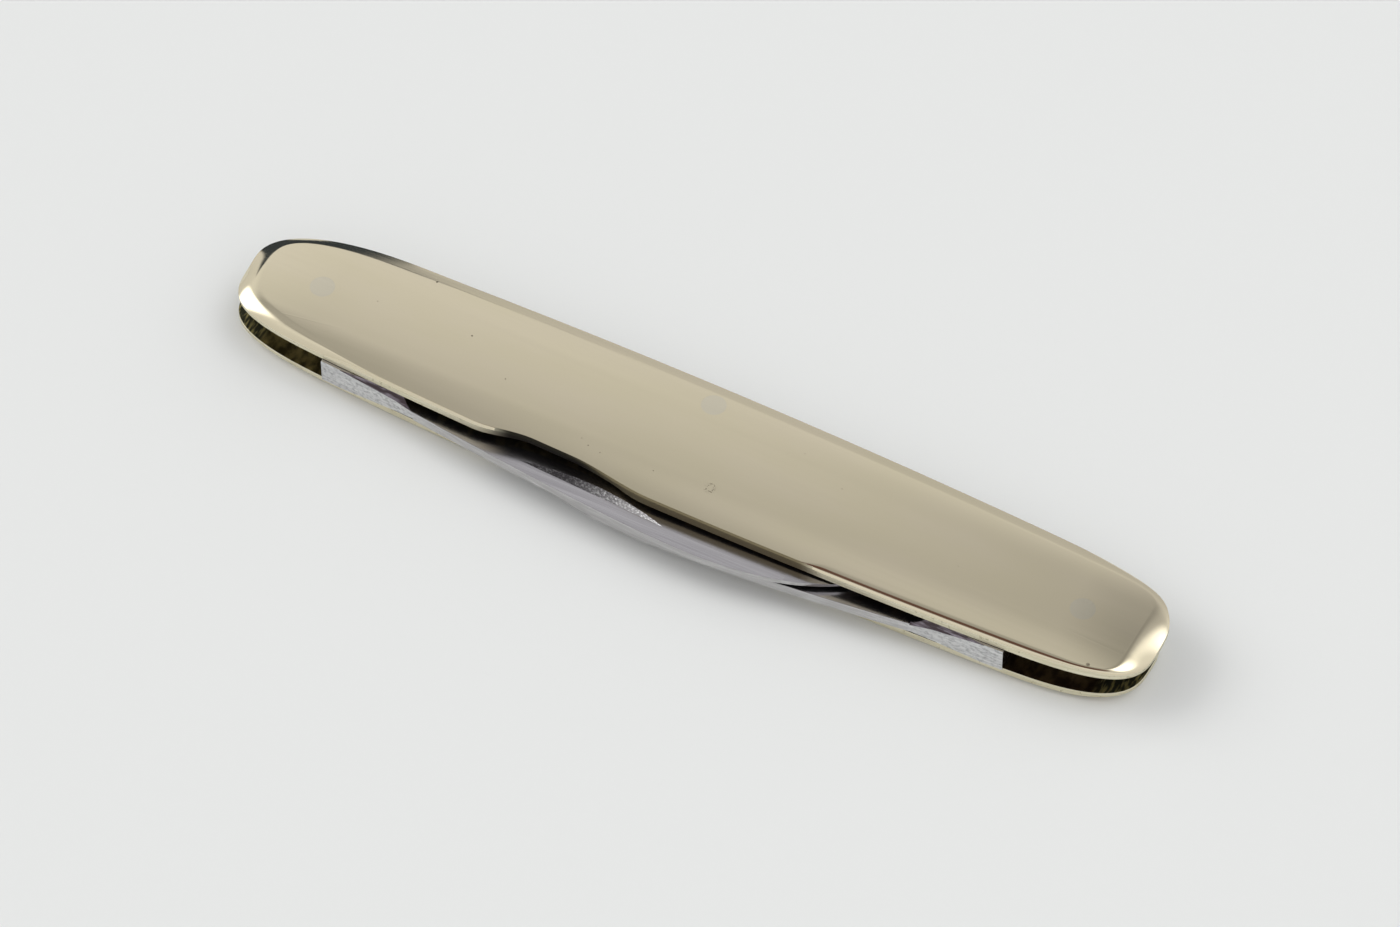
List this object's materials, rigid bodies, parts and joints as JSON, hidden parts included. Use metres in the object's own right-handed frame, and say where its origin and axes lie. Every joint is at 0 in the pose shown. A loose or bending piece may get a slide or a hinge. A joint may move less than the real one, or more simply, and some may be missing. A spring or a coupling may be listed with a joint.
{
  "type": "folding pen knife",
  "caption": "Slim folding pen knife with smooth rounded metal handle scales, flush pins and blades that fold in from both ends against one shared backspring.",
  "frame": {"origin": "middle of the flat underside of the back scale, half way between the two blade pivots", "axes": "+X along the handle from the master blade's pivot to the pen blade's pivot, +Y towards the closed side where the spring lies, +Z out of the front scale"},
  "size_m": [0.0836, 0.0154, 0.0049],
  "materials": {
    "scales": "polished nickel silver, warm and lightly worn",
    "blades": "mirror-ground faces with satin backs",
    "spring": "satin, polished flush with the scales",
    "pins": "polished flush with the scales"
  },
  "bodies": {
    "handle": {"back_scale": "scales", "front_scale": "scales", "backspring": "spring", "master_pivot_pin": "pins", "pen_pivot_pin": "pins", "spring_pin": "pins"},
    "master_blade": {"master_blade": "blades"},
    "pen_blade": {"pen_blade": "blades"}
  },
  "joints": [
    {"name": "master_blade_fold", "type": "hinge", "parent": "handle", "child": "master_blade", "pos_m": [-0.035, 0, 0.00248], "axis": [0, 0, -1], "range_deg": [0, 180]},
    {"name": "pen_blade_fold", "type": "hinge", "parent": "handle", "child": "pen_blade", "pos_m": [0.035, 0, 0.00248], "axis": [0, 0, 1], "range_deg": [0, 180]}
  ]
}
